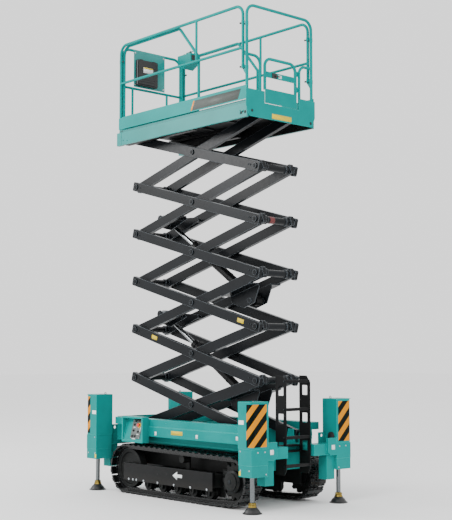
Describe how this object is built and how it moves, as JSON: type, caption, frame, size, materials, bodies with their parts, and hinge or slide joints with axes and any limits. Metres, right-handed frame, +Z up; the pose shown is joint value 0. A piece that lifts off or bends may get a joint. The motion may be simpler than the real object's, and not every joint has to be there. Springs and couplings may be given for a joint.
{
  "type": "tracked scissor lift",
  "caption": "Self-levelling tracked scissor lift: tracked chassis with corner jacks, crossed-arm stack on cylinders, railed platform with sliding deck extension and rear swing gate",
  "frame": {"origin": "on the ground under the middle of the chassis, midway between the jacks", "axes": "+X is the direction of travel, +Y is the left of the machine, +Z is up"},
  "size_m": [2.92, 1.5, 5.4419],
  "materials": {
    "teal_paint": "teal enamel",
    "graphite_paint": "graphite enamel",
    "black_paint": "black enamel",
    "track_rubber": "black rubber",
    "cast_steel": "dark steel",
    "chromed_rod": "hard chrome",
    "case_plastic": "black moulding"
  },
  "bodies": {
    "chassis": {"deck_frame": "teal_paint", "roller_channels": "teal_paint", "lower_body": "teal_paint", "power_pack": "black_paint", "axle_beams": "black_paint", "ground_control": "teal_paint", "ladder": "black_paint", "track_left": "track_rubber", "running_gear_left": "cast_steel", "track_frame_left": "black_paint", "side_cover_left": "black_paint", "jack_housing_front_left": "teal_paint", "jack_housing_rear_left": "teal_paint", "track_right": "track_rubber", "running_gear_right": "cast_steel", "track_frame_right": "black_paint", "side_cover_right": "black_paint", "jack_housing_front_right": "teal_paint", "jack_housing_rear_right": "teal_paint"},
    "jack_front_left": {"jack_rod_front_left": "chromed_rod"},
    "jack_front_right": {"jack_rod_front_right": "chromed_rod"},
    "jack_rear_left": {"jack_rod_rear_left": "chromed_rod"},
    "jack_rear_right": {"jack_rod_rear_right": "chromed_rod"},
    "outer_1": {"outer_arms_1": "graphite_paint"},
    "inner_1": {"inner_arms_1": "graphite_paint"},
    "outer_2": {"outer_arms_2": "graphite_paint"},
    "inner_2": {"inner_arms_2": "graphite_paint"},
    "outer_3": {"outer_arms_3": "graphite_paint"},
    "inner_3": {"inner_arms_3": "graphite_paint"},
    "outer_4": {"outer_arms_4": "graphite_paint"},
    "inner_4": {"inner_arms_4": "graphite_paint"},
    "outer_5": {"outer_arms_5": "graphite_paint"},
    "inner_5": {"inner_arms_5": "graphite_paint"},
    "outer_6": {"outer_arms_6": "graphite_paint"},
    "inner_6": {"inner_arms_6": "graphite_paint"},
    "platform": {"platform_frame": "teal_paint", "platform_channels": "black_paint", "rear_guard": "teal_paint", "side_guard_left": "teal_paint", "side_guard_right": "teal_paint"},
    "extension": {"extension_deck": "teal_paint", "extension_rails": "teal_paint", "document_case": "case_plastic", "platform_control": "teal_paint"},
    "gate": {"gate": "teal_paint"},
    "barrel_lower": {"barrel_lower": "graphite_paint"},
    "rod_lower": {"piston_rod_lower": "chromed_rod"},
    "barrel_upper": {"barrel_upper": "graphite_paint"},
    "rod_upper": {"piston_rod_upper": "chromed_rod"}
  },
  "joints": [
    {"name": "jack_front_left_slide", "type": "slide", "parent": "chassis", "child": "jack_front_left", "axis": [0, 0, -1], "range_m": [-0.25, 0.2]},
    {"name": "jack_front_right_slide", "type": "slide", "parent": "chassis", "child": "jack_front_right", "axis": [0, 0, -1], "range_m": [-0.25, 0.2]},
    {"name": "jack_rear_left_slide", "type": "slide", "parent": "chassis", "child": "jack_rear_left", "axis": [0, 0, -1], "range_m": [-0.25, 0.2]},
    {"name": "jack_rear_right_slide", "type": "slide", "parent": "chassis", "child": "jack_rear_right", "axis": [0, 0, -1], "range_m": [-0.25, 0.2]},
    {"name": "lift", "type": "hinge", "parent": "chassis", "child": "outer_1", "pos_m": [-1.036, 0, 0.753], "axis": [0, -1, 0], "range_deg": [-10.96, 44.5]},
    {"name": "stage_1_inner", "type": "hinge", "parent": "outer_1", "child": "inner_1", "pos_m": [0.02892, 0, 1.04413], "axis": [0, 1, 0], "range_deg": [-21.96, 89.05]},
    {"name": "stage_2_outer", "type": "hinge", "parent": "inner_2", "child": "outer_2", "pos_m": [0.02892, 0, 1.62639], "axis": [0, -1, 0], "range_deg": [-21.96, 89.05]},
    {"name": "stage_2_inner", "type": "hinge", "parent": "outer_1", "child": "inner_2", "pos_m": [1.09384, 0, 1.33526], "axis": [0, 1, 0], "range_deg": [-21.96, 89.05]},
    {"name": "stage_3_outer", "type": "hinge", "parent": "inner_2", "child": "outer_3", "pos_m": [-1.036, 0, 1.91752], "axis": [0, -1, 0], "range_deg": [-21.96, 89.05]},
    {"name": "stage_3_inner", "type": "hinge", "parent": "outer_3", "child": "inner_3", "pos_m": [0.02892, 0, 2.20865], "axis": [0, 1, 0], "range_deg": [-21.96, 89.05]},
    {"name": "stage_4_outer", "type": "hinge", "parent": "inner_4", "child": "outer_4", "pos_m": [0.02892, 0, 2.79091], "axis": [0, -1, 0], "range_deg": [-21.96, 89.05]},
    {"name": "stage_4_inner", "type": "hinge", "parent": "outer_3", "child": "inner_4", "pos_m": [1.09384, 0, 2.49978], "axis": [0, 1, 0], "range_deg": [-21.96, 89.05]},
    {"name": "stage_5_outer", "type": "hinge", "parent": "inner_4", "child": "outer_5", "pos_m": [-1.036, 0, 3.08204], "axis": [0, -1, 0], "range_deg": [-21.96, 89.05]},
    {"name": "stage_5_inner", "type": "hinge", "parent": "outer_5", "child": "inner_5", "pos_m": [0.02892, 0, 3.37317], "axis": [0, 1, 0], "range_deg": [-21.96, 89.05]},
    {"name": "stage_6_outer", "type": "hinge", "parent": "inner_6", "child": "outer_6", "pos_m": [0.02892, 0, 3.95543], "axis": [0, -1, 0], "range_deg": [-21.96, 89.05]},
    {"name": "stage_6_inner", "type": "hinge", "parent": "outer_5", "child": "inner_6", "pos_m": [1.09384, 0, 3.6643], "axis": [0, 1, 0], "range_deg": [-21.96, 89.05]},
    {"name": "platform_level", "type": "hinge", "parent": "inner_6", "child": "platform", "pos_m": [-1.036, 0, 4.24656], "axis": [0, -1, 0], "range_deg": [-11.01, 44.55]},
    {"name": "extension_slide", "type": "slide", "parent": "platform", "child": "extension", "axis": [1, 0, 0], "range_m": [0, 0.9]},
    {"name": "gate_swing", "type": "hinge", "parent": "platform", "child": "gate", "pos_m": [-1.125, -0.27, 4.64656], "axis": [0, 0, 1], "range_deg": [-90, 0]},
    {"name": "barrel_lower_swing", "type": "hinge", "parent": "inner_1", "child": "barrel_lower", "pos_m": [-0.73762, 0, 1.04635], "axis": [0, -1, 0], "range_deg": [-20.32, 82.38]},
    {"name": "rod_lower_slide", "type": "slide", "parent": "barrel_lower", "child": "rod_lower", "axis": [0.8372, 0, 0.5469], "range_m": [-0.2314, 0.934]},
    {"name": "barrel_upper_swing", "type": "hinge", "parent": "inner_3", "child": "barrel_upper", "pos_m": [-0.73762, 0, 2.21087], "axis": [0, -1, 0], "range_deg": [-20.32, 82.38]},
    {"name": "rod_upper_slide", "type": "slide", "parent": "barrel_upper", "child": "rod_upper", "axis": [0.8372, 0, 0.5469], "range_m": [-0.2314, 0.934]}
  ],
  "couplings": [
    {"joint": "stage_1_inner", "follows": "lift", "ratio": 2},
    {"joint": "stage_2_outer", "follows": "lift", "ratio": 2},
    {"joint": "stage_2_inner", "follows": "lift", "ratio": 2},
    {"joint": "stage_3_outer", "follows": "lift", "ratio": 2},
    {"joint": "stage_3_inner", "follows": "lift", "ratio": 2},
    {"joint": "stage_4_outer", "follows": "lift", "ratio": 2},
    {"joint": "stage_4_inner", "follows": "lift", "ratio": 2},
    {"joint": "stage_5_outer", "follows": "lift", "ratio": 2},
    {"joint": "stage_5_inner", "follows": "lift", "ratio": 2},
    {"joint": "stage_6_outer", "follows": "lift", "ratio": 2},
    {"joint": "stage_6_inner", "follows": "lift", "ratio": 2},
    {"joint": "platform_level", "follows": "lift", "ratio": 1},
    {"joint": "barrel_lower_swing", "follows": "lift", "ratio": 1.85},
    {"joint": "rod_lower_slide", "follows": "lift", "m_per_rad": 1.2},
    {"joint": "barrel_upper_swing", "follows": "lift", "ratio": 1.85},
    {"joint": "rod_upper_slide", "follows": "lift", "m_per_rad": 1.2}
  ]
}
